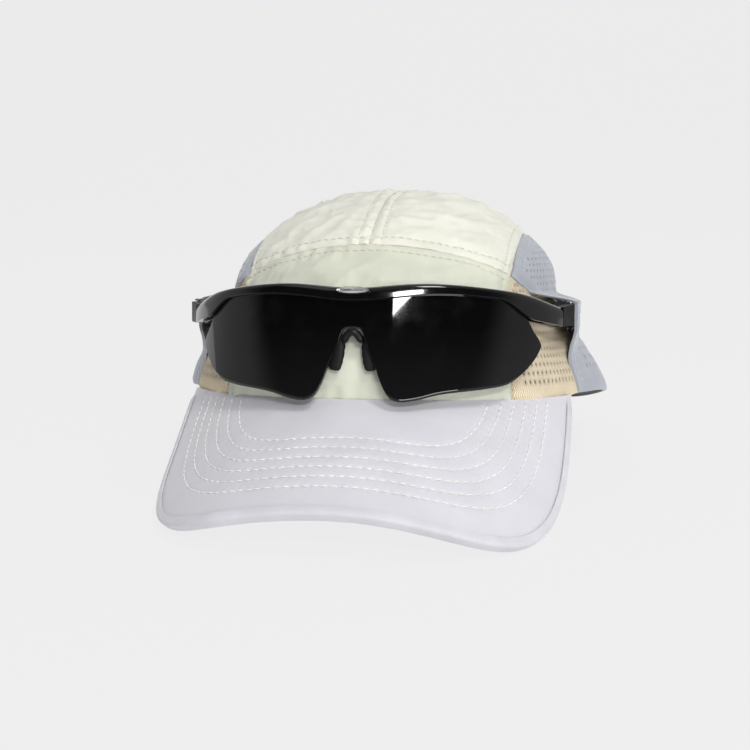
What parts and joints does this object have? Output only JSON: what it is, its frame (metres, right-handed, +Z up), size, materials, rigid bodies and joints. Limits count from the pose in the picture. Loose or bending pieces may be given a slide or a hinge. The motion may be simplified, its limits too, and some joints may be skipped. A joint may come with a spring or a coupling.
{
  "type": "running cap with docked sports eyewear",
  "caption": "Soft running cap with a curved stitched brim, perforated side pockets, a back strap with a cam buckle, and wrap sports eyewear docked in the side pockets.",
  "frame": {"origin": "middle of the footprint on the surface the cap stands on", "axes": "+Z up, -Y forward along the brim, +X towards a viewer's right who faces the cap's front"},
  "size_m": [0.1782, 0.2618, 0.1095],
  "materials": {
    "sage_nylon": "thin woven nylon, pale sage, faint sheen",
    "ivory_nylon": "thin woven nylon, ivory, lightly creased",
    "seam_tape": "narrow grey tape over the seams inside",
    "beige_mesh": "open knit mesh, beige",
    "slate_nylon": "perforated nylon, blue-grey",
    "dark_sweatband": "dark grey towelling band",
    "brim_cloth": "plain woven cloth, pale lavender grey, matt",
    "brim_board": "flexible plastic sheet",
    "brim_binding": "folded tape of the brim's cloth",
    "webbing": "flat woven webbing, dark grey",
    "buckle_plastic": "moulded black acetal",
    "pin_steel": "turned steel",
    "gloss_black": "polished black nylon",
    "smoke_lens": "dark smoke polycarbonate, glossy",
    "badge_metal": "satin plate",
    "satin_black": "satin black nylon",
    "pad_rubber": "soft black rubber"
  },
  "bodies": {
    "cap": {"front_panel": "sage_nylon", "crown_panel_left": "ivory_nylon", "crown_panel_right": "ivory_nylon", "center_seam_tape": "seam_tape", "side_seam_tape_left": "seam_tape", "side_seam_tape_right": "seam_tape", "side_mesh_left": "beige_mesh", "side_mesh_right": "beige_mesh", "side_panel_left": "slate_nylon", "side_panel_right": "slate_nylon", "sweatband": "dark_sweatband", "brim_upper_cover": "brim_cloth", "brim_lower_cover": "brim_cloth", "brim_board": "brim_board", "brim_edge_binding": "brim_binding", "back_strap": "webbing", "strap_tab": "webbing", "buckle_frame": "buckle_plastic", "cam_pin": "pin_steel"},
    "eyewear": {"brow_frame": "gloss_black", "shield_lens": "smoke_lens", "brow_emblem": "badge_metal", "nose_bridge": "satin_black", "nose_pad_left": "pad_rubber", "nose_pad_right": "pad_rubber", "hinge_block_left": "gloss_black", "hinge_block_right": "gloss_black", "hinge_screw_left": "pin_steel", "hinge_screw_right": "pin_steel"},
    "temple_left": {"temple_left": "gloss_black", "temple_tip_left": "pad_rubber"},
    "temple_right": {"temple_right": "gloss_black", "temple_tip_right": "pad_rubber"},
    "cam_lever": {"cam_lever": "buckle_plastic"}
  },
  "joints": [
    {"name": "eyewear_slide", "type": "slide", "parent": "cap", "child": "eyewear", "axis": [0, -0.9905, 0.1376], "range_m": [0, 0.09]},
    {"name": "temple_left_hinge", "type": "hinge", "parent": "eyewear", "child": "temple_left", "pos_m": [-0.0734, -0.02732, 0.06493], "axis": [0, -0.1376, -0.9905], "range_deg": [0, 1.5]},
    {"name": "temple_right_hinge", "type": "hinge", "parent": "eyewear", "child": "temple_right", "pos_m": [0.0734, -0.02732, 0.06493], "axis": [0, 0.1376, 0.9905], "range_deg": [0, 1.5]},
    {"name": "cam_lever_hinge", "type": "hinge", "parent": "cap", "child": "cam_lever", "pos_m": [0.0025, 0.12734, 0.01029], "axis": [0, -0.063, -0.998], "range_deg": [0, 100]}
  ]
}
